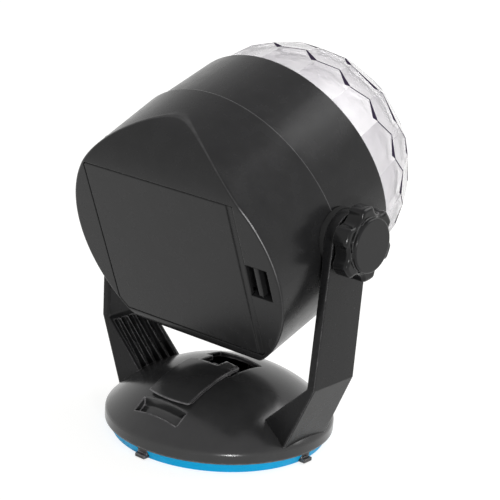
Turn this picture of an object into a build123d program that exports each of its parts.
"""Faceted-dome party light on a tilting yoke with a suction base.

Millimetres, +Z up. The origin is the centre of the suction cup's resting plane.
+X runs along the tilt axis, and the beam points towards +Y and up.
The head is drawn level, with +Y along the middle line of its drum. That line runs a little
below the tilt axis, about which the head is then turned to its tilt.
"""

from math import cos, pi, radians, sin, sqrt, tan
import os

from build123d import *

# Clearances, and the overrun of every cut
run_gap = 0.05
slip_gap = 0.3
seat_gap = 0.1
overrun = 2.0

# Base cover: a spherical cap on a short upright rim
base_radius = 42.0
rim_foot = 4.0
rim_top = 7.9
crown_height = 26.3
cover_wall = 1.8
cover_edge_round = 0.5

# Retaining lugs round the rim
lug_count = 4
lug_width = 4.4
lug_depth = 2.7
lug_proud = 0.3
lug_foot = 0.4
lug_sole = 1.4
lug_step = 1.2
lug_bite = 1.0

# Suction cup
cup_inset = 0.4
cup_taper = 2.4
cup_ring_width = 5.0
cup_lift = 3.0
cup_wall = 2.2
cup_boss_radius = 9.0
cup_boss_height = 1.3

# Lever slot and finger pocket in the crown
slot_half_width = 9.9
slot_throat_left = 7.0
slot_throat_front = 2.6
slot_back = 7.6
slot_front = 10.3
pocket_length = 3.2
pocket_depth = 2.6
pocket_wall = 1.4

# Suction lever
lever_left = 10.0
lever_right = 9.4
lever_thickness = 1.2
lever_margin = 10.5
lever_root = 6.6
lever_corner = 2.2
tab_length = 4.9
tab_width = 6.1
web_width = 4.4
hub_offset = 4.6
hub_height = 19.5
hub_radius = 2.4
hub_length = 17.2
ear_inner = 3.4
ear_outer = 5.6
ear_reach = 7.2
ear_half_width = 2.1
lever_swing = 32.0
hinge_pin_radius = 1.0
cheek_width = 2.0
cheek_back = 3.6
cheek_front = 3.0
cheek_drop = 3.0

# Stem, its pin, its guide and its spring
stem_radius = 3.0
stem_head = 1.2
stem_flat = 3.8
stem_flange_radius = 7.4
stem_flange = 1.4
stem_pin_radius = 1.0
guide_foot = 12.0
guide_thickness = 1.8
guide_radius = 23.0
guide_tube_radius = 5.2
guide_tube_height = 1.2
guide_post_radius = 3.0
guide_post_circle = 19.0
guide_post_count = 3
guide_post_turn = 90.0
spring_wire_radius = 0.45
spring_mean_radius = 5.6
spring_turns = 2
spring_clear = 0.15

# Small screws, and the cross recess of every screw as shares of its head's radius
screw_recess_share = 0.6
screw_blade_share = 0.22
small_thread_radius = 1.1
small_head_radius = 2.1
small_head_height = 1.5
small_thread_length = 7.0

# Yoke arms
head_clearance = 11.7
arm_top_thickness = 4.1
arm_inner_lean = 1.5
arm_outer_lean = 2.3
elbow_rise = 6.5
foot_inset = 1.7
foot_thickness = 9.8
foot_sink = 1.2
arm_top_width = 20.5
arm_elbow_width = 22.5
arm_foot_width = 24.0
groove_count = 5
groove_width = 3.0
groove_rib = 0.95
groove_floor = 2.2
groove_start = 1.6
groove_foot_wall = 1.0
groove_foot_drop = 3.8
arm_hole_radius = 2.6
arm_screw_radius = 1.25
arm_screw_head_radius = 2.4
arm_screw_head_height = 1.8
arm_screw_depth = 3.6
arm_screw_inset = 3.7
arm_screw_spread = 12.4
arm_boss_radius = 3.0
arm_boss_foot = 7.2

# Clamp knobs, studs, washers and nuts
washer_radius = 10.2
washer_thickness = 2.2
stud_radius = 2.5
stud_overhang = 2.0
knob_start = 0.3
knob_height = 9.1
knob_face_radius = 9.7
knob_face_height = 1.5
knob_lobe_radius = 13.4
knob_lobes = 6
knob_lobe_turn = 38.5
knob_scallop_radius = 4.6
knob_scallop_centre = 15.4
knob_lobe_round = 1.9
knob_edge_round = 1.4
knob_collar_radius = 7.6
knob_collar = 1.2
knob_bore_depth = 5.0
nut_flats = 8.0
nut_thickness = 4.0
nut_depth = 6.8
pivot_flat_depth = 1.2
pivot_boss_radius = 7.0
pivot_boss_depth = 8.6

# Head: rear shell, front barrel and dome
head_tilt = 21.7
head_drop = 1.8
back_plane = 32.1
seam_radius = 48.0
back_taper = 1.0
barrel_step = 0.7
barrel_taper = 1.1
barrel_front = 28.5
shell_wall = 2.0
back_round = 20.0
top_round_lap = 1.7
bottom_round = 7.5
bottom_round_margin = 0.2
bottom_slope = 55.0
back_edge_round = 1.0
lip_length = 2.6
lip_wall = 1.1
dome_step = 0.7
dome_wall = 2.4
dome_facet_inset = 0.75
dome_skirt_depth = 3.0
dome_skirt_wall = 1.5
dome_ring_counts = (18, 18, 12, 9, 5)
dome_ring_heights = (9.0, 26.5, 43.5, 60.0, 75.5)
dome_ring_offsets = (0.0, 0.5, 0.25, 0.5, 0.0)

# Battery bay and door
door_hinge_margin = 11.6
door_latch_margin = 14.1
door_top_margin = 17.5
door_bottom_margin = 14.4
door_rim_wall = 1.4
door_wall = 2.0
door_corner = 1.4
door_gap = 0.25
door_step_width = 2.5
door_step_depth = 0.35
door_tab_length = 2.4
door_tab_width = 7.0
door_tab_thickness = 1.2
door_tab_inset = 13.15
latch_recess_width = 9.7
latch_recess_height = 12.6
latch_recess_depth = 7.0
latch_bar_gap = 3.3
latch_bar_width = 2.1
latch_bar_sink = 0.5
latch_tongue_width = 12.0
latch_tongue_thickness = 1.2
latch_tongue_sink = 3.6
bay_ledge = 1.2
bay_wall = 1.5
cell_count = 4
cell_side_gap = 2.75
cell_gap = 0.4
cell_end_room = 10.8
cell_back_gap = 0.9
cell_button_radius = 2.7
cell_button_height = 1.0
contact_thickness = 0.5
contact_width = 9.6
coil_wire_radius = 0.35
coil_mean_radius = 2.9
coil_turns = 2.5

# Boards, motor, lamps and rotor
board_thickness = 1.6
main_board_width = 52.0
main_board_height = 40.0
main_board_gap = 3.4
standoff_radius = 2.4
standoff_spread_x = 44.0
standoff_spread_z = 32.0
bulkhead = 10.5
bulkhead_thickness = 2.0
post_radius = 3.1
post_end_margin = 10.2
shell_screw_radius = 1.3
shell_screw_head_radius = 2.4
shell_screw_head_height = 1.4
shell_screw_bite = 9.0
motor_radius = 10.0
motor_length = 12.0
motor_flange_radius = 15.0
motor_flange = 1.2
motor_screw_spread = 25.0
shaft_radius = 1.5
shaft_front = 25.0
lamp_board_radius = 20.0
lamp_board_gap = 1.2
lamp_count = 6
lamp_circle = 12.5
lamp_base = 5.0
lamp_base_height = 1.2
lamp_lens_radius = 2.9
rotor_back = 20.4
rotor_thickness = 2.0
rotor_clearance = 8.2
rotor_hub_radius = 4.2
rotor_hub_length = 5.2
rotor_lens_counts = (7, 13)
rotor_lens_circle_shares = (0.39, 0.765)
rotor_lens_share = 0.156
rotor_lens_height = 2.6

# Inlet and switch on the underside of the rear shell
service_flat_depth = 1.8
service_flat_back = 21.0
service_flat_front = 5.0
service_half_width = 9.6
service_board_inset = 7.8
service_board_width = 34.0
service_board_depth = 12.0
service_board_place = 12.5
inlet_place = 6.4
inlet_width = 7.6
inlet_thickness = 2.8
inlet_wall = 0.45
inlet_sink = 0.4
switch_place = -4.6
switch_width = 9.0
switch_depth = 4.2
switch_height = 3.8
slider_width = 3.2
slider_depth = 1.9
slider_proud = 1.0
slider_travel = 3.0
service_post_radius = 2.2
service_peg_radius = 1.1
service_peg_proud = 0.6

# Radii of the head, from its seam outwards
back_radius = seam_radius - back_taper
barrel_seam_radius = seam_radius - barrel_step
barrel_front_radius = barrel_seam_radius - barrel_taper
dome_radius = barrel_front_radius - dome_step
rotor_radius = barrel_front_radius - shell_wall - rotor_clearance

# The tilt axis and what is stacked along it
pivot_height = crown_height + seam_radius + head_clearance
pivot_flat = seam_radius - pivot_flat_depth
pivot_boss_end = pivot_flat - pivot_boss_depth
nut_reach = pivot_flat - nut_depth
stud_reach = nut_reach - stud_overhang
arm_inner_pivot = pivot_flat + washer_thickness
arm_outer_pivot = arm_inner_pivot + arm_top_thickness
knob_face = arm_outer_pivot + knob_height

# The arms' elbows and feet, the lever and the cup on the base
arm_inner_elbow = arm_inner_pivot - arm_inner_lean
arm_outer_elbow = arm_outer_pivot - arm_outer_lean
elbow_height = crown_height + elbow_rise
foot_outer_reach = base_radius - foot_inset
foot_inner_reach = foot_outer_reach - foot_thickness
arm_screw_reach = foot_outer_reach - arm_screw_inset
lever_tip = base_radius - lever_margin
tab_front = -lever_root + tab_length
tab_left = lever_right - tab_width
web_left = hub_length / 2 - web_width
cup_top_radius = base_radius - cup_inset
cup_foot_radius = cup_top_radius - cup_taper

# The door in the flat of the back, and the rounds above and below it
door_left = back_radius - door_hinge_margin
door_right = back_radius - door_latch_margin
door_rim_radius = back_radius - door_rim_wall
door_top = back_radius - door_top_margin
door_bottom = back_radius - door_bottom_margin
door_tab_spread = door_top + door_bottom - 2 * door_tab_inset
top_round_start = door_top - top_round_lap
bottom_round_start = door_bottom + bottom_round_margin
latch_recess_reach = door_right + latch_recess_width
latch_bar_start = door_right + latch_bar_gap

# The battery bay behind the door, its cells, and the posts between them
bay_half_width = door_right + door_gap - bay_ledge
bay_top = door_top + door_gap - bay_ledge
bay_bottom = door_bottom + door_gap - bay_ledge
bay_middle = (bay_top - bay_bottom) / 2
door_inner = -back_plane + door_wall
cell_pitch = 2 * (bay_half_width - cell_side_gap) / cell_count
cell_radius = (cell_pitch - cell_gap) / 2
cell_length = bay_top + bay_bottom - cell_end_room
cell_axis = door_inner + cell_back_gap + cell_radius
bay_floor_back = cell_axis + cell_radius + slip_gap
bay_floor = -bay_floor_back - bay_wall
main_board_back = -bay_floor + main_board_gap
post_spread_x = 2 * cell_pitch
post_spread_z = bay_top + bay_bottom - 2 * post_end_margin

# The inlet and the switch in the underside
service_flat = seam_radius - service_flat_depth
service_board_height = service_flat - service_board_inset
service_board_foot = -service_board_height - board_thickness
service_peg_top = -service_board_height + service_peg_proud


def box_between(x0, x1, y0, y1, z0, z1):
    """A box given by its six planes."""
    return Pos((x0 + x1) / 2, (y0 + y1) / 2, (z0 + z1) / 2) * Box(x1 - x0, y1 - y0, z1 - z0)


def rod_x(radius, x0, x1, y=0, z=0):
    """A round bar along X from x0 to x1."""
    bar = Cylinder(radius, x1 - x0, align=(Align.CENTER, Align.CENTER, Align.MIN))
    return Pos(x0, y, z) * Rot(0, 90, 0) * bar


def rod_y(radius, y0, y1, x=0, z=0):
    """A round bar along Y from y0 to y1."""
    bar = Cylinder(radius, y1 - y0, align=(Align.CENTER, Align.CENTER, Align.MIN))
    return Pos(x, y0, z) * Rot(-90, 0, 0) * bar


def rod_z(radius, z0, z1, x=0, y=0):
    """A round bar along Z from z0 to z1."""
    bar = Cylinder(radius, z1 - z0, align=(Align.CENTER, Align.CENTER, Align.MIN))
    return Pos(x, y, z0) * bar


def outline(*points):
    """A flat face inside a closed polygon."""
    return make_face(Polyline(*points, close=True))


def turned(points, axis):
    """A solid turned from a half profile."""
    plane = Plane.XZ if axis == Axis.Z else Plane.XY
    return revolve(plane * outline(*points), axis=axis)


def mirrored(piece):
    """The same piece on the other side of the X = 0 plane."""
    return mirror(piece, about=Plane.YZ)


def sum_solids(solids):
    """One shape from a list of solids."""
    total = solids[0]
    for solid in solids[1:]:
        total = total + solid
    return total


def screw(head_radius, head_height, thread_radius, length):
    """A cross-recessed screw driven towards +Z, with the seat of its head at z = 0."""
    recess = head_radius * screw_recess_share
    blade = head_radius * screw_blade_share
    head = rod_z(head_radius, -head_height, 0)
    head -= box_between(-recess, recess, -blade, blade, -head_height, -head_height / 2)
    head -= box_between(-blade, blade, -recess, recess, -head_height, -head_height / 2)
    return head + rod_z(thread_radius, 0, length)


# The cap's sphere
cap_rise = crown_height - rim_top
cap_sphere = (base_radius**2 + cap_rise**2) / (2 * cap_rise)
cap_centre = crown_height - cap_sphere


def cap_solid(offset, floor):
    """The inside of the base cover's outer surface, moved outwards by offset."""
    ball = Pos(0, 0, cap_centre) * Sphere(cap_sphere + offset)
    drum = rod_z(base_radius + offset, floor, crown_height + offset + overrun)
    return ball & drum


def cap_height(reach, offset=0):
    """Height of the crown at a distance from the middle."""
    return cap_centre + sqrt((cap_sphere + offset)**2 - reach**2)


# Lever and stem heights that follow from the hub
ear_angle = lever_swing / 2
stem_pin_height = hub_height + hub_offset * tan(radians(ear_angle))
stem_drop = 2 * hub_offset * tan(radians(ear_angle))
cup_top = cup_lift + cup_wall + cup_boss_height
cheek_reach = hub_length / 2 + slip_gap + cheek_width
pocket_back = -lever_tip
pocket_front = -lever_tip - pocket_length


def base_cover():
    """Cap with the lever slot, finger pocket, hinge cheeks and screw bosses."""
    outer = cap_solid(0, rim_foot)
    inner = cap_solid(-cover_wall, rim_foot - overrun)
    shell = outer - inner
    shell = fillet(shell.edges().filter_by(GeomType.CIRCLE).group_by(Axis.Z)[0][-1], cover_edge_round)
    pocket_body = box_between(
        -lever_left - slip_gap - pocket_wall, lever_right + slip_gap + pocket_wall,
        pocket_front - pocket_wall, pocket_back + pocket_wall + overrun,
        rim_top, crown_height,
    )
    pocket_skin = pocket_body & (inner - cap_solid(-cover_wall - pocket_depth, rim_foot - overrun))
    shell += pocket_skin
    shell -= pocket_cut()
    shell += cheeks() & inner
    shell += guide_posts() & inner
    shell += arm_bosses() & inner
    shell -= lever_slot()
    shell -= rod_x(hinge_pin_radius, -cheek_reach, cheek_reach, -hub_offset, hub_height)
    thread_end = guide_foot + guide_thickness + small_thread_length
    for x, y in guide_post_places():
        shell -= rod_z(small_thread_radius, guide_foot, thread_end, x, y)
    for x, y in arm_screw_places():
        shell -= rod_z(arm_screw_radius, rim_foot - overrun, crown_height, x, y)
    for turn in range(lug_count):
        shell += lug(turn)
    return shell


def lever_slot():
    """The slot in the crown, with a narrower throat on the lever's side."""
    foot = hub_height + hub_radius
    top = crown_height + overrun
    wide = box_between(-slot_half_width, slot_half_width, slot_throat_front, slot_front, foot, top)
    throat = box_between(-slot_throat_left, slot_half_width, -slot_back, slot_throat_front, foot, top)
    return wide + throat


def pocket_cut():
    """The finger pocket: the space between the crown and a sunk copy of it."""
    well = box_between(
        -lever_left - slip_gap, lever_right + slip_gap,
        pocket_front, pocket_back + overrun, rim_top, crown_height,
    )
    return well & (cap_solid(overrun, rim_foot) - cap_solid(-pocket_depth, rim_foot - overrun))


def cheeks():
    """Two ears under the crown that carry the lever's hinge pin."""
    ears = []
    for side in (-1, 1):
        inner = side * (hub_length / 2 + slip_gap)
        outer = inner + side * cheek_width
        ears.append(box_between(
            min(inner, outer), max(inner, outer),
            -hub_offset - cheek_back, -hub_offset + cheek_front,
            hub_height - cheek_drop, crown_height,
        ))
    return sum_solids(ears)


def guide_post_places():
    """Middles of the posts that hold the stem guide."""
    step = 360 / guide_post_count
    angles = [radians(guide_post_turn + step * i) for i in range(guide_post_count)]
    return [(guide_post_circle * cos(a), guide_post_circle * sin(a)) for a in angles]


def guide_posts():
    """Posts that hang from the crown down to the stem guide."""
    top = guide_foot + guide_thickness
    posts = [rod_z(guide_post_radius, top, crown_height, x, y) for x, y in guide_post_places()]
    return sum_solids(posts)


def arm_screw_places():
    """Middles of the screws that hold the yoke arms."""
    return [
        (side * arm_screw_reach, spread * arm_screw_spread / 2)
        for side in (-1, 1)
        for spread in (-1, 1)
    ]


def arm_bosses():
    """Bosses under the crown that the arm screws bear on."""
    bosses = [rod_z(arm_boss_radius, arm_boss_foot, crown_height, x, y) for x, y in arm_screw_places()]
    return sum_solids(bosses)


def lug(turn):
    """One lug that holds the edge of the suction cup to the rim, with a flat sole."""
    outer = base_radius + lug_proud
    inner = outer - lug_depth
    half = lug_width / 2
    upright = box_between(inner, base_radius - lug_step, -half, half, lug_foot, rim_foot + lug_bite)
    sole = box_between(inner, outer, -half, half, lug_foot, lug_foot + lug_sole)
    return Rot(0, 0, 360 / lug_count * turn) * (upright + sole)


def suction_cup():
    """Soft cup, drawn up in the middle as it is with the lever pressed down."""
    inner_foot = cup_foot_radius - cup_ring_width
    profile = [
        (0, cup_lift),
        (cup_boss_radius, cup_lift),
        (inner_foot, 0),
        (cup_foot_radius, 0),
        (cup_top_radius, rim_foot),
        (inner_foot, rim_foot),
        (cup_boss_radius + cup_wall, cup_lift + cup_wall),
        (cup_boss_radius, cup_top),
        (0, cup_top),
    ]
    cup = turned(profile, Axis.Z)
    reach = base_radius + lug_proud - lug_depth - slip_gap
    for turn in range(lug_count):
        notch = box_between(
            reach, base_radius + overrun,
            -lug_width / 2 - slip_gap, lug_width / 2 + slip_gap,
            -overrun, rim_foot + overrun,
        )
        cup -= Rot(0, 0, 360 / lug_count * turn) * notch
    return cup


def suction_stem():
    """Stem with a flange on the cup, and a flattened top with a cross hole."""
    top = stem_pin_height + stem_pin_radius + stem_head
    flat_foot = hub_height - hub_radius - 2 * slip_gap
    stem = rod_z(stem_radius, cup_top, flat_foot)
    stem += rod_z(stem_radius, flat_foot, top) & box_between(
        -stem_radius, stem_radius, -stem_flat / 2, stem_flat / 2, flat_foot, top)
    stem += rod_z(stem_flange_radius, cup_top, cup_top + stem_flange)
    return stem - rod_x(stem_pin_radius, -ear_outer, ear_outer, 0, stem_pin_height)


def stem_pin():
    """Cross pin that the lever's forks pull on."""
    return rod_x(stem_pin_radius, -ear_outer, ear_outer, 0, stem_pin_height)


def stem_guide():
    """Plate under the crown with the tube that the stem slides in."""
    plate = rod_z(guide_radius, guide_foot, guide_foot + guide_thickness)
    tube = rod_z(guide_tube_radius, guide_foot, guide_foot + guide_thickness + guide_tube_height)
    guide = plate + tube - rod_z(stem_radius + run_gap, 0, crown_height)
    for x, y in guide_post_places():
        guide -= rod_z(small_thread_radius, 0, crown_height, x, y)
    return guide


def guide_screws():
    """Screws through the stem guide into the posts."""
    length = guide_thickness + small_thread_length
    one = screw(small_head_radius, small_head_height, small_thread_radius, length)
    return [Pos(x, y, guide_foot) * one for x, y in guide_post_places()]


def arm_screws():
    """Screws through the bosses up into the feet of the arms."""
    length = cap_height(arm_screw_reach) - arm_boss_foot + arm_screw_depth
    one = screw(arm_screw_head_radius, arm_screw_head_height, arm_screw_radius, length)
    return [Pos(x, y, arm_boss_foot) * one for x, y in arm_screw_places()]


def wound_wire(wire, mean, pitch, turns):
    """A helical spring that stands on z = 0, as one unbroken wire."""
    path = Helix(pitch=pitch, height=pitch * turns, radius=mean)
    start = Plane(origin=path @ 0, z_dir=path % 0)
    coil = sweep(start * Circle(wire), path=path, is_frenet=True)
    return Pos(0, 0, wire) * coil


def wound_gap(wire, mean, pitch, turns):
    """Least gap between one turn of a spring and the next, measured on points."""
    samples = 72
    points = [
        (mean * cos(2 * pi * i / samples), mean * sin(2 * pi * i / samples), pitch * i / samples)
        for i in range(int(samples * turns))
    ]
    least = pitch * turns + mean
    for i, a in enumerate(points):
        for b in points[i + samples // 2:]:
            gap = sqrt(sum((p - q)**2 for p, q in zip(a, b))) - 2 * wire
            least = min(least, gap)
    return least


def stem_spring_pitch():
    """Rise of the stem spring in one turn."""
    room = guide_foot - cup_top - stem_flange - 2 * spring_clear
    return (room - 2 * spring_wire_radius) / spring_turns


def stem_spring():
    """Spring that pushes the stem and the middle of the cup down."""
    coil = wound_wire(spring_wire_radius, spring_mean_radius, stem_spring_pitch(), spring_turns)
    return Pos(0, 0, cup_top + stem_flange + spring_clear) * coil


def lever_layer(x0, x1, y0, y1):
    """The part of the lever's skin over a rectangle of the crown."""
    column = box_between(x0, x1, y0, y1, hub_height, crown_height + overrun + lever_thickness)
    skin = cap_solid(slip_gap + lever_thickness, rim_foot) - cap_solid(slip_gap, rim_foot - overrun)
    return column & skin


def suction_lever():
    """Lever skin along the crown, its neck in the slot, its hub and two forks."""
    plate = lever_layer(-lever_left, lever_right, -lever_tip, -lever_root)
    uprights = plate.edges().filter_by(Axis.Z).group_by(Axis.Y)[0]
    plate = fillet(uprights, lever_corner)
    tab = lever_layer(tab_left, lever_right, -lever_root - overrun, tab_front)
    skin_foot = cap_height(tab_front, slip_gap)
    web = outline(
        (-hub_offset - hub_radius / 2, hub_height),
        (-hub_offset - hub_radius / 2, cap_height(hub_offset, slip_gap + lever_thickness / 2)),
        (tab_front, cap_height(tab_front, slip_gap + lever_thickness / 2)),
        (tab_front, skin_foot - lever_thickness / 2),
        (-hub_offset + hub_radius, hub_height),
    )
    neck = Pos(web_left, 0, 0) * extrude(Plane.YZ * web, web_width)
    hub = rod_x(hub_radius, -hub_length / 2, hub_length / 2, -hub_offset, hub_height)
    forks = [fork(-ear_outer, -ear_inner), fork(ear_inner, ear_outer)]
    lever = sum_solids([hub, *forks, neck, tab, plate])
    return lever - rod_x(hinge_pin_radius + run_gap, -hub_length, hub_length, -hub_offset, hub_height)


def fork(x0, x1):
    """A plate on the hub with an open slot for the stem's cross pin."""
    blade = box_between(x0, x1, 0, ear_reach, -ear_half_width, ear_half_width)
    mouth = stem_pin_radius + run_gap
    slot = box_between(x0, x1, hub_offset - mouth, ear_reach + overrun, -mouth, mouth)
    place = Pos(0, -hub_offset, hub_height) * Rot(ear_angle, 0, 0)
    return place * (blade - slot)


def lever_pin():
    """Hinge pin of the lever, held in the two cheeks."""
    return rod_x(hinge_pin_radius, -cheek_reach, cheek_reach, -hub_offset, hub_height)


def yoke_arm():
    """The arm on the +X side, seated on the crown."""
    top = pivot_height + arm_top_width / 2
    inner_height = cap_height(foot_inner_reach) - foot_sink
    outer_height = cap_height(foot_outer_reach) - foot_sink
    slope_in = (arm_inner_elbow - foot_inner_reach) / (elbow_height - inner_height)
    slope_out = (arm_outer_elbow - foot_outer_reach) / (elbow_height - outer_height)
    side = outline(
        (arm_outer_elbow, elbow_height),
        (arm_outer_pivot, pivot_height),
        (arm_outer_pivot, top),
        (arm_inner_pivot, top),
        (arm_inner_pivot, pivot_height - washer_radius - slip_gap),
        (arm_inner_elbow, elbow_height),
        (arm_inner_elbow - slope_in * (elbow_height - rim_foot), rim_foot),
        (arm_outer_elbow - slope_out * (elbow_height - rim_foot), rim_foot),
    )
    slab = extrude(Plane.XZ * side, arm_foot_width, both=True)
    front = outline(
        (arm_foot_width / 2, rim_foot),
        (arm_elbow_width / 2, elbow_height),
        (arm_top_width / 2, pivot_height),
        (-arm_top_width / 2, pivot_height),
        (-arm_elbow_width / 2, elbow_height),
        (-arm_foot_width / 2, rim_foot),
    )
    eye = Pos(0, pivot_height) * Circle(arm_top_width / 2)
    blade = extrude(Plane.YZ * (front + eye), arm_outer_pivot + overrun)
    arm = slab & blade
    arm -= grooves(slope_in, slope_out)
    arm -= cap_solid(0, rim_foot - overrun)
    arm -= rod_x(arm_hole_radius, 0, arm_outer_pivot + overrun, 0, pivot_height)
    for x, y in arm_screw_places():
        arm -= rod_z(arm_screw_radius, 0, cap_height(arm_screw_reach) + arm_screw_depth, x, y)
    return arm


def grooves(slope_in, slope_out):
    """Core grooves down the inner face of the arm's slanted foot."""
    top = elbow_height - groove_start
    inner_top = arm_inner_elbow - slope_in * groove_start
    inner_foot = arm_inner_elbow - slope_in * (elbow_height - rim_foot)
    outer_top = arm_outer_elbow - slope_out * groove_start - groove_floor
    foot_reach = foot_inner_reach + groove_foot_wall
    foot_height = cap_height(foot_inner_reach) - foot_sink - groove_foot_drop
    floor_slope = (outer_top - foot_reach) / (top - foot_height)
    outer_foot = outer_top - floor_slope * (top - rim_foot)
    side = outline(
        (inner_top - overrun, top),
        (outer_top, top),
        (outer_foot, rim_foot),
        (inner_foot - overrun, rim_foot),
    )
    pitch = groove_width + groove_rib
    cuts = []
    for i in range(groove_count):
        y = (i - (groove_count - 1) / 2) * pitch
        cuts.append(Pos(0, y, 0) * extrude(Plane.XZ * side, groove_width / 2, both=True))
    return sum_solids(cuts)


def friction_washer():
    """Washer between the arm and the flat on the head."""
    disc = rod_x(washer_radius, pivot_flat, arm_inner_pivot, 0, pivot_height)
    return disc - rod_x(arm_hole_radius, 0, arm_outer_pivot, 0, pivot_height)


def knob_outline():
    """Six-lobed star of the clamp knob."""
    star = Circle(knob_lobe_radius)
    step = 360 / knob_lobes
    for i in range(knob_lobes):
        angle = radians(step * (i + 0.5) + knob_lobe_turn)
        place = Pos(knob_scallop_centre * cos(angle), knob_scallop_centre * sin(angle))
        star -= place * Circle(knob_scallop_radius)
    return fillet(star.vertices(), knob_lobe_round)


def clamp_knob():
    """Star knob with a round face, a collar on the arm and a bore for its stud."""
    back = arm_outer_pivot + knob_start + knob_collar
    shoulder = knob_face - knob_face_height
    plane = Plane(origin=(back, 0, pivot_height), x_dir=(0, 1, 0), z_dir=(1, 0, 0))
    star = extrude(plane * knob_outline(), shoulder - back)
    star = fillet(star.faces().sort_by(Axis.X)[-1].edges(), knob_edge_round)
    face = rod_x(knob_face_radius, back, knob_face, 0, pivot_height)
    face = fillet(face.edges().sort_by(Axis.X)[-1], knob_edge_round / 2)
    collar = rod_x(knob_collar_radius, arm_outer_pivot + knob_start, back, 0, pivot_height)
    bore = rod_x(stud_radius + run_gap, 0, back + knob_bore_depth, 0, pivot_height)
    return star + face + collar - bore


def knob_stud():
    """Threaded stud in the knob, screwed into the nut in the head."""
    end = arm_outer_pivot + knob_start + knob_collar + knob_bore_depth
    return rod_x(stud_radius, stud_reach, end, 0, pivot_height)


# The head's own frame
def placed(piece):
    """Turns a level head piece to the tilt and lifts it to the tilt axis."""
    return Pos(0, 0, pivot_height) * Rot(head_tilt, 0, 0) * Pos(0, 0, -head_drop) * piece


def taper(radius_back, radius_front, y0, y1):
    """A tapering drum along Y."""
    return turned([(0, y0), (radius_back, y0), (radius_front, y1), (0, y1)], Axis.Y)


def back_curve(offset):
    """Side view of the head's back: a flat, a large round above it, a small round and a slope below it."""
    y = -back_plane - offset
    r = back_round + offset
    centre = -back_plane + back_round
    reach = seam_radius + overrun
    high = top_round_start
    lid = high + r + overrun
    low = -bottom_round_start
    quarter = r * sin(radians(45))
    small = bottom_round + offset
    heel = -back_plane + bottom_round
    half_turn = radians(bottom_slope / 2)
    turn = radians(bottom_slope)
    heel_start = (y, low)
    heel_middle = (heel - small * cos(half_turn), low - small * sin(half_turn))
    heel_end = (heel - small * cos(turn), low - small * sin(turn))
    slope_foot = (heel_end[0] + (reach + heel_end[1]) * tan(turn), -reach)
    lines = [
        Line((y, low), (y, high)),
        ThreePointArc((y, high), (centre - quarter, high + quarter), (centre, high + r)),
        Line((centre, high + r), (centre, lid)),
        Line((centre, lid), (overrun, lid)),
        Line((overrun, lid), (overrun, -reach)),
        Line((overrun, -reach), slope_foot),
        Line(slope_foot, heel_end),
        ThreePointArc(heel_end, heel_middle, heel_start),
    ]
    return extrude(Plane.YZ * make_face(lines), reach, both=True)


def rear_body(offset, front):
    """Outer form of the rear shell moved outwards by offset, up to a front plane."""
    drum = taper(back_radius + offset, seam_radius + offset, -back_plane - offset, 0)
    if front > 0:
        drum += rod_y(seam_radius + offset, 0, front)
    return drum & back_curve(offset)


def door_hole(offset, y0, y1):
    """The door's outline, grown by offset, as a block from y0 to y1."""
    block = box_between(
        -door_left - offset, door_right + offset, y0, y1,
        -door_bottom - offset, door_top + offset,
    )
    return block & rod_y(door_rim_radius + offset, y0, y1)


def service_places():
    """The flat on the underside, as a block that reaches below the head."""
    return box_between(
        -service_half_width, service_half_width,
        -service_flat_back, -service_flat_front,
        -seam_radius - overrun, -service_flat,
    )


def shell_screw_places():
    """Middles of the screws that join the two shells, between the cells."""
    return [(i * post_spread_x / 2, j * post_spread_z / 2) for i in (-1, 1) for j in (-1, 1)]


def standoff_places():
    """Middles of the main board's standoffs."""
    return [(i * standoff_spread_x / 2, j * standoff_spread_z / 2) for i in (-1, 1) for j in (-1, 1)]


def pivot_boss(side):
    """A boss on the tilt axis, inside the shells."""
    x0 = side * pivot_boss_end
    x1 = side * (pivot_flat - shell_wall / 2)
    return rod_x(pivot_boss_radius, min(x0, x1), max(x0, x1), 0, head_drop)


def pivot_cuts(side):
    """The washer flat, the stud hole and the nut pocket on one side."""
    flat_end = seam_radius + overrun
    flat = rod_x(washer_radius + slip_gap, min(side * pivot_flat, side * flat_end),
                 max(side * pivot_flat, side * flat_end), 0, head_drop)
    bore = rod_x(arm_hole_radius, min(side * pivot_boss_end, side * flat_end) - overrun,
                 max(side * pivot_boss_end, side * flat_end) + overrun, 0, head_drop)
    return flat + bore + clamp_nut_block(side)


def clamp_nut_block(side):
    """The clamp nut before it is bored, which is also its pocket."""
    hexagon = RegularPolygon(nut_flats / 2, 6, major_radius=False)
    x0 = min(side * nut_reach, side * (nut_reach + nut_thickness))
    plane = Plane(origin=(x0, 0, head_drop), x_dir=(0, 1, 0), z_dir=(1, 0, 0))
    return extrude(plane * hexagon, nut_thickness)


def clamp_nuts():
    """Steel nuts held between the shells, one on each side."""
    nuts = []
    for side in (-1, 1):
        end = side * (nut_reach + nut_thickness)
        bore = rod_x(stud_radius + run_gap, min(0, end) - overrun, max(0, end) + overrun, 0, head_drop)
        nuts.append(clamp_nut_block(side) - bore)
    return nuts


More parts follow.
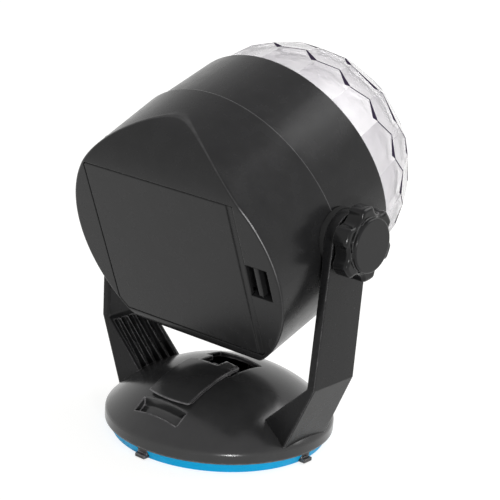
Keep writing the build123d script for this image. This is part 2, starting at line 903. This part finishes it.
def rear_shell():
    """Rear half of the head, with the battery bay moulded in."""
    outer = rear_body(0, 0)
    outer = fillet(back_rim(outer), back_edge_round)
    cavity = rear_body(-shell_wall, overrun)
    shell = outer - cavity
    bay = box_between(
        -bay_half_width - bay_wall - bay_ledge, bay_half_width + bay_wall + bay_ledge,
        -back_plane, -bay_floor,
        -bay_bottom - bay_wall - bay_ledge, bay_top + bay_wall + bay_ledge,
    )
    shell += bay & cavity
    shell += latch_pocket_body() & cavity
    for side in (-1, 1):
        shell += pivot_boss(side) & rear_half()
    shell += lip_ring()
    shell += service_seat() & cavity
    shell -= box_between(
        -bay_half_width, bay_half_width, -back_plane - overrun, bay_floor_back, -bay_bottom, bay_top,
    )
    shell -= door_hole(door_gap, -back_plane - overrun, door_inner)
    shell -= tab_pockets()
    shell -= latch_space()
    for x, z in standoff_places():
        shell += rod_y(standoff_radius, -bay_floor, main_board_back, x, z)
    for x, z in shell_screw_places():
        shell += rod_y(post_radius, -bay_floor, main_board_back, x, z)
        shell -= rod_y(shell_screw_radius + seat_gap, -back_plane, overrun, x, z)
    for side in (-1, 1):
        shell -= pivot_cuts(side)
    shell -= service_places()
    shell -= service_holes()
    for x, y in service_post_places():
        post = rod_z(service_post_radius, -seam_radius, service_board_foot, x, y)
        shell += post & cavity
        shell += rod_z(service_peg_radius, service_board_foot, service_peg_top, x, y)
    return shell


def back_rim(body):
    """The edges where the flat of the back and the round above it meet the drum."""
    rim = []
    for edge in body.edges().filter_by(GeomType.LINE, reverse=True):
        middle = edge.center()
        if middle.Y < -back_plane / 3 and middle.Z > -bottom_round_start:
            rim.append(edge)
    return rim


def rear_half():
    """All the space behind the seam."""
    reach = seam_radius + overrun
    return box_between(-reach, reach, -reach, 0, -reach, reach)


def front_half():
    """All the space in front of the seam."""
    reach = seam_radius + overrun
    return box_between(-reach, reach, 0, reach, -reach, reach)


def lip_ring():
    """Locating lip on the rear shell that slips into the barrel."""
    outer = barrel_seam_radius - shell_wall - seat_gap
    ring = rod_y(outer, -lip_length, lip_length)
    ring += rod_y(seam_radius - shell_wall / 2, -lip_length, 0)
    ring -= rod_y(outer - lip_wall, -lip_length - overrun, lip_length + overrun)
    for side in (-1, 1):
        ring -= box_between(
            min(side * pivot_boss_end, side * seam_radius), max(side * pivot_boss_end, side * seam_radius),
            0, lip_length + overrun,
            head_drop - pivot_boss_radius - slip_gap, head_drop + pivot_boss_radius + slip_gap,
        )
    return ring


def latch_pocket_body():
    """Walls of the finger recess beside the door."""
    half = latch_recess_height / 2 + bay_wall
    return box_between(
        door_right, latch_recess_reach + bay_wall,
        -back_plane, -back_plane + latch_recess_depth + bay_wall, -half, half,
    )


def latch_space():
    """The finger recess, and the way through the bay wall for the latch tongue."""
    half = latch_recess_height / 2
    recess = box_between(
        door_right, latch_recess_reach,
        -back_plane - overrun, -back_plane + latch_recess_depth, -half, half,
    )
    way = box_between(
        bay_half_width - bay_ledge, door_right + overrun,
        door_inner - overrun, -back_plane + latch_recess_depth, -half, half,
    )
    return recess + way


def tab_places():
    """Heights of the door's two hinge tabs."""
    middle = (door_top - door_bottom) / 2
    return [middle - door_tab_spread / 2, middle + door_tab_spread / 2]


def tab_pockets():
    """Pockets in the bay wall that the hinge tabs turn in."""
    pockets = []
    for z in tab_places():
        half = door_tab_width / 2 + slip_gap
        pockets.append(box_between(
            -door_left - door_tab_length - door_gap, -bay_half_width + overrun,
            door_inner, door_inner + 3 * door_tab_thickness, z - half, z + half,
        ))
    return sum_solids(pockets)


def service_post_places():
    """Middles of the posts and pegs that carry the small board."""
    reach = service_board_width / 2 - service_post_radius
    return [(-reach, -service_board_place), (reach, -service_board_place)]


def service_seat():
    """Thick pad behind the flat with the inlet and the switch."""
    return box_between(
        -service_half_width, service_half_width,
        -service_flat_back - shell_wall, -service_flat_front + shell_wall,
        -service_flat - overrun, -service_flat + shell_wall,
    )


def service_holes():
    """Mouths for the inlet and the switch slider."""
    y = -service_board_place
    inlet = box_between(
        inlet_place - inlet_width / 2 - seat_gap, inlet_place + inlet_width / 2 + seat_gap,
        y - inlet_thickness / 2 - seat_gap, y + inlet_thickness / 2 + seat_gap,
        -seam_radius - overrun, -service_flat + shell_wall + overrun,
    )
    slot_half = slider_width / 2 + slip_gap
    slot = box_between(
        switch_place - slider_travel / 2 - slot_half, switch_place + slider_travel / 2 + slot_half,
        y - slider_depth / 2 - slip_gap, y + slider_depth / 2 + slip_gap,
        -seam_radius - overrun, -service_flat + shell_wall + overrun,
    )
    return inlet + slot


def front_barrel():
    """Front half of the head, with the bulkhead and the screw posts."""
    outer = taper(barrel_seam_radius, barrel_front_radius, 0, barrel_front)
    inner = taper(barrel_seam_radius - shell_wall, barrel_front_radius - shell_wall, 0, barrel_front)
    barrel = outer - inner
    plate = rod_y(seam_radius, bulkhead, bulkhead + bulkhead_thickness) & inner
    barrel += plate
    for side in (-1, 1):
        barrel += pivot_boss(side) & front_half()
    for x, z in shell_screw_places():
        barrel += rod_y(post_radius, main_board_back + board_thickness, bulkhead, x, z)
        barrel -= rod_y(shell_screw_radius, main_board_back, bulkhead, x, z)
    barrel -= rod_y(motor_radius / 2, 0, barrel_front)
    for x in (-motor_screw_spread / 2, motor_screw_spread / 2):
        barrel -= rod_y(small_thread_radius, 0, bulkhead + bulkhead_thickness, x, 0)
    for x, z in lamp_standoff_places():
        barrel += rod_y(standoff_radius, bulkhead, bulkhead + bulkhead_thickness + lamp_board_gap, x, z)
    for side in (-1, 1):
        barrel -= pivot_cuts(side)
    return barrel


def lamp_standoff_places():
    """Middles of the lamp board's standoffs."""
    reach = lamp_board_radius - standoff_radius
    return [(reach * cos(a), reach * sin(a)) for a in (radians(45 + 90 * i) for i in range(4))]


def dome_facets():
    """Directions of the dome's facets, ring by ring from the rim to the front."""
    directions = []
    for count, height, offset in zip(dome_ring_counts, dome_ring_heights, dome_ring_offsets):
        for i in range(count):
            directions.append((360 / count * (i + offset), height))
    directions.append((0, 90))
    return directions


def dome_lens():
    """Clear dome: a half ball cut by flat facets, hollow, with a skirt in the barrel."""
    ball = Sphere(barrel_front_radius) & box_between(
        -barrel_front_radius, barrel_front_radius, 0, barrel_front_radius,
        -barrel_front_radius, barrel_front_radius,
    )
    cutter = 2 * dome_radius
    facet_plane = dome_radius - dome_facet_inset
    for turn, height in dome_facets():
        block = Pos(0, facet_plane + cutter / 2, 0) * Box(cutter, cutter, cutter)
        ball -= Rot(0, turn, 0) * Rot(90 - height, 0, 0) * block
    hollow = Sphere(dome_radius - dome_wall) & box_between(
        -dome_radius, dome_radius, -overrun, dome_radius, -dome_radius, dome_radius)
    lens = Pos(0, barrel_front, 0) * (ball - hollow)
    skirt = barrel_front_radius - shell_wall - seat_gap
    ring = rod_y(skirt, barrel_front - dome_skirt_depth, barrel_front)
    ring -= rod_y(skirt - dome_skirt_wall, 0, barrel_front + overrun)
    return lens + ring


def battery_door():
    """Door with two hinge tabs, a stepped edge and the latch bar."""
    plate = door_hole(0, -back_plane, door_inner)
    uprights = plate.edges().filter_by(Axis.Y)
    free_corner = [e for e in uprights if e.center().Z > 0 and e.center().X > 0]
    plate = fillet(free_corner, door_corner)
    plate = plate - box_between(
        door_right - door_step_width, door_right + overrun,
        -back_plane - overrun, -back_plane + door_step_depth,
        -door_bottom - overrun, door_top + overrun,
    )
    for z in tab_places():
        half = door_tab_width / 2
        plate += box_between(
            -door_left - door_tab_length, -bay_half_width + bay_ledge + overrun,
            door_inner + slip_gap, door_inner + slip_gap + door_tab_thickness, z - half, z + half,
        )
        plate += box_between(
            -bay_half_width + slip_gap, -bay_half_width + bay_ledge + overrun,
            door_inner - overrun / 2, door_inner + slip_gap + door_tab_thickness, z - half, z + half,
        )
    half = latch_tongue_width / 2
    tongue_back = -back_plane + latch_tongue_sink
    plate += box_between(
        bay_half_width - bay_ledge - door_wall, bay_half_width - bay_ledge,
        door_inner - overrun / 2, tongue_back + latch_tongue_thickness, -half, half,
    )
    plate += box_between(
        bay_half_width - bay_ledge - door_wall, latch_bar_start + latch_bar_width,
        tongue_back, tongue_back + latch_tongue_thickness, -half, half,
    )
    plate += box_between(
        latch_bar_start, latch_bar_start + latch_bar_width,
        -back_plane + latch_bar_sink, tongue_back + latch_tongue_thickness, -half, half,
    )
    return plate


def cell_places():
    """X places of the cells, side by side."""
    return [(i - (cell_count - 1) / 2) * cell_pitch for i in range(cell_count)]


def batteries():
    """Round cells side by side, turned end for end in pairs."""
    cells = []
    for i, x in enumerate(cell_places()):
        flip = 1 if i % 2 == 0 else -1
        cell = rod_z(cell_radius, -cell_length / 2, cell_length / 2)
        cell += rod_z(cell_button_radius, cell_length / 2, cell_length / 2 + cell_button_height)
        cell = Pos(x, cell_axis, bay_middle) * (cell if flip > 0 else Rot(180, 0, 0) * cell)
        cells.append(cell)
    return cells


def battery_contacts():
    """Contact plates on the two end walls of the bay."""
    plates = []
    half = contact_width / 2
    for x in cell_places():
        for foot in (bay_top - contact_thickness, -bay_bottom):
            plates.append(box_between(
                x - half, x + half, cell_axis - half, cell_axis + half, foot, foot + contact_thickness,
            ))
    return plates


def coil_pitch():
    """Rise of a coil contact in one turn, between a cell's flat end and the contact plate."""
    room = (bay_top + bay_bottom - cell_length) / 2 - contact_thickness - 2 * spring_clear
    return (room - 2 * coil_wire_radius) / coil_turns


def battery_springs():
    """Coil contacts at the flat end of each cell."""
    coils = []
    for i, x in enumerate(cell_places()):
        coil = wound_wire(coil_wire_radius, coil_mean_radius, coil_pitch(), coil_turns)
        if i % 2 == 0:
            place = Pos(x, cell_axis, -bay_bottom + contact_thickness + spring_clear)
        else:
            place = Pos(x, cell_axis, bay_top - contact_thickness - spring_clear) * Rot(180, 0, 0)
        coils.append(place * coil)
    return coils


def shell_screws():
    """Long screws from the bay floor into the barrel's posts."""
    length = main_board_back + board_thickness + shell_screw_bite - bay_floor_back
    one = screw(shell_screw_head_radius, shell_screw_head_height, shell_screw_radius, length)
    return [Pos(x, bay_floor_back, z) * Rot(-90, 0, 0) * one for x, z in shell_screw_places()]


def main_board():
    """Driver board on the standoffs behind the bulkhead."""
    board = box_between(
        -main_board_width / 2, main_board_width / 2,
        main_board_back, main_board_back + board_thickness,
        -main_board_height / 2, main_board_height / 2,
    )
    for x, z in shell_screw_places():
        board -= rod_y(shell_screw_radius + seat_gap, -bay_floor, bulkhead, x, z)
    return board


def gear_motor():
    """Flat geared motor behind the bulkhead, held by its flange."""
    body = rod_y(motor_radius, bulkhead - motor_length, bulkhead)
    flange = rod_y(motor_flange_radius, bulkhead - motor_flange, bulkhead) & box_between(
        -motor_flange_radius, motor_flange_radius, -motor_radius, bulkhead,
        -motor_radius / 2, motor_radius / 2,
    )
    body += flange
    nose = rod_y(motor_radius / 2 - run_gap, bulkhead, bulkhead + bulkhead_thickness)
    body += nose
    body -= rod_y(shaft_radius + run_gap, bulkhead - motor_length / 2, barrel_front)
    for x in (-motor_screw_spread / 2, motor_screw_spread / 2):
        body -= rod_y(small_thread_radius, -motor_radius, bulkhead, x, 0)
    return body


def motor_screws():
    """Screws that hold the motor's flange to the bulkhead."""
    length = motor_flange + bulkhead_thickness
    one = screw(small_head_radius, small_head_height, small_thread_radius, length)
    places = (-motor_screw_spread / 2, motor_screw_spread / 2)
    return [Pos(x, bulkhead - motor_flange, 0) * Rot(-90, 0, 0) * one for x in places]


def motor_shaft():
    """Output shaft from the gearbox to the rotor."""
    return rod_y(shaft_radius, bulkhead - motor_length / 2, shaft_front)


lamp_board_back = bulkhead + bulkhead_thickness + lamp_board_gap
lamp_board_front = lamp_board_back + board_thickness


def lamp_board():
    """Round board with the lamps, on standoffs in front of the bulkhead."""
    disc = rod_y(lamp_board_radius, lamp_board_back, lamp_board_front)
    return disc - rod_y(motor_radius / 2, 0, barrel_front)


def lamp_places():
    """Middles of the lamps round the shaft."""
    return [
        (lamp_circle * cos(2 * pi * i / lamp_count), lamp_circle * sin(2 * pi * i / lamp_count))
        for i in range(lamp_count)
    ]


def lamps():
    """Lamp bodies on the board."""
    half = lamp_base / 2
    top = lamp_board_front + lamp_base_height
    return [
        box_between(x - half, x + half, lamp_board_front, top, z - half, z + half)
        for x, z in lamp_places()
    ]


def lamp_lenses():
    """Clear bead on each lamp."""
    beads = []
    foot = lamp_board_front + lamp_base_height
    for x, z in lamp_places():
        bead = Sphere(lamp_lens_radius) & box_between(
            -lamp_lens_radius, lamp_lens_radius, 0, lamp_lens_radius, -lamp_lens_radius, lamp_lens_radius)
        beads.append(Pos(x, foot, z) * bead)
    return beads


def rotor():
    """Turning lens plate on the motor shaft, with round lenses raised on it."""
    front = rotor_back + rotor_thickness
    plate = rod_y(rotor_radius, rotor_back, front)
    plate += rod_y(rotor_hub_radius, rotor_back, rotor_back + rotor_hub_length)
    lens_radius = rotor_radius * rotor_lens_share
    ball = (lens_radius**2 + rotor_lens_height**2) / (2 * rotor_lens_height)
    for count, share in zip(rotor_lens_counts, rotor_lens_circle_shares):
        circle = rotor_radius * share
        for i in range(count):
            angle = 2 * pi * i / count
            lens = Pos(0, front + rotor_lens_height - ball, 0) * Sphere(ball)
            lens = lens & rod_y(lens_radius + overrun, front - rotor_thickness / 2, front + ball)
            plate += Pos(circle * cos(angle), 0, circle * sin(angle)) * lens
    return plate - rod_y(shaft_radius, 0, shaft_front)


def service_board():
    """Small board over the inlet and the switch."""
    board = box_between(
        -service_board_width / 2, service_board_width / 2,
        -service_board_place - service_board_depth / 2, -service_board_place + service_board_depth / 2,
        service_board_foot, -service_board_height,
    )
    for x, y in service_post_places():
        board -= rod_z(service_peg_radius + run_gap, -seam_radius, service_peg_top, x, y)
    return board


def power_inlet():
    """Upright power socket, its mouth in the flat on the underside."""
    top = service_board_foot
    foot = -service_flat + inlet_sink
    half_x = inlet_width / 2
    half_y = inlet_thickness / 2
    y = -service_board_place
    can = box_between(inlet_place - half_x, inlet_place + half_x, y - half_y, y + half_y, foot, top)
    can -= box_between(
        inlet_place - half_x + inlet_wall, inlet_place + half_x - inlet_wall,
        y - half_y + inlet_wall, y + half_y - inlet_wall, foot - overrun, top - inlet_thickness / 2,
    )
    tongue_half = half_x / 2
    tongue = box_between(
        inlet_place - tongue_half, inlet_place + tongue_half,
        y - inlet_wall / 2, y + inlet_wall / 2, foot + inlet_sink, top - inlet_thickness / 2,
    )
    return can + tongue


def switch_body():
    """Slide switch under the small board."""
    top = service_board_foot
    y = -service_board_place
    body = box_between(
        switch_place - switch_width / 2, switch_place + switch_width / 2,
        y - switch_depth / 2, y + switch_depth / 2, top - switch_height, top,
    )
    half_run = (slider_travel + slider_width) / 2 + seat_gap
    body -= box_between(
        switch_place - half_run, switch_place + half_run,
        y - slider_depth / 2 - seat_gap, y + slider_depth / 2 + seat_gap,
        top - switch_height - overrun, top - switch_height / 2,
    )
    return body


def switch_slider():
    """Slider of the switch, at the off end of its travel."""
    x = switch_place - slider_travel / 2
    return box_between(
        x - slider_width / 2, x + slider_width / 2,
        -service_board_place - slider_depth / 2, -service_board_place + slider_depth / 2,
        -service_flat - slider_proud, service_board_foot - switch_height / 2 - seat_gap,
    )


def head_pieces():
    """Every piece of the head, level and centred on its own middle line."""
    return {
        "rear_shell": rear_shell(),
        "front_barrel": front_barrel(),
        "dome_lens": dome_lens(),
        "battery_door": battery_door(),
        "batteries": batteries(),
        "battery_contacts": battery_contacts(),
        "battery_springs": battery_springs(),
        "shell_screws": shell_screws(),
        "clamp_nuts": clamp_nuts(),
        "main_board": main_board(),
        "gear_motor": gear_motor(),
        "motor_screws": motor_screws(),
        "motor_shaft": motor_shaft(),
        "lamp_board": lamp_board(),
        "lamps": lamps(),
        "lamp_lenses": lamp_lenses(),
        "lens_rotor": rotor(),
        "service_board": service_board(),
        "power_inlet": power_inlet(),
        "switch_body": switch_body(),
        "switch_slider": switch_slider(),
    }


def stand_pieces():
    """Every piece of the base, the yoke and the clamps."""
    return {
        "base_cover": base_cover(),
        "suction_cup": suction_cup(),
        "suction_stem": suction_stem(),
        "stem_pin": stem_pin(),
        "stem_guide": stem_guide(),
        "stem_spring": stem_spring(),
        "guide_screws": guide_screws(),
        "suction_lever": suction_lever(),
        "lever_pin": lever_pin(),
        "yoke_arm_right": yoke_arm(),
        "yoke_arm_left": mirrored(yoke_arm()),
        "arm_screws": arm_screws(),
        "friction_washer_right": friction_washer(),
        "friction_washer_left": mirrored(friction_washer()),
        "clamp_knob_right": clamp_knob(),
        "clamp_knob_left": mirrored(clamp_knob()),
        "knob_stud_right": knob_stud(),
        "knob_stud_left": mirrored(knob_stud()),
    }


def write_piece(name, piece):
    """Writes one node's solids to its own file."""
    solids = []
    for item in piece if isinstance(piece, list) else [piece]:
        solids.extend(item.solids())
    shape = solids[0] if len(solids) == 1 else Compound(children=solids)
    export_step(shape, f"parts/{name}.step")


def main():
    """Builds and writes every piece."""
    os.makedirs("parts", exist_ok=True)
    for name, piece in stand_pieces().items():
        write_piece(name, piece)
    for name, piece in head_pieces().items():
        parts = piece if isinstance(piece, list) else [piece]
        write_piece(name, [placed(part) for part in parts])
    stem_gap = wound_gap(spring_wire_radius, spring_mean_radius, stem_spring_pitch(), spring_turns)
    coil_gap = wound_gap(coil_wire_radius, coil_mean_radius, coil_pitch(), coil_turns)
    print("stem spring gap", round(stem_gap, 2))
    print("battery spring gap", round(coil_gap, 2))
    print("stem drop", round(stem_drop, 3), "stem pin height", round(stem_pin_height, 3))


main()
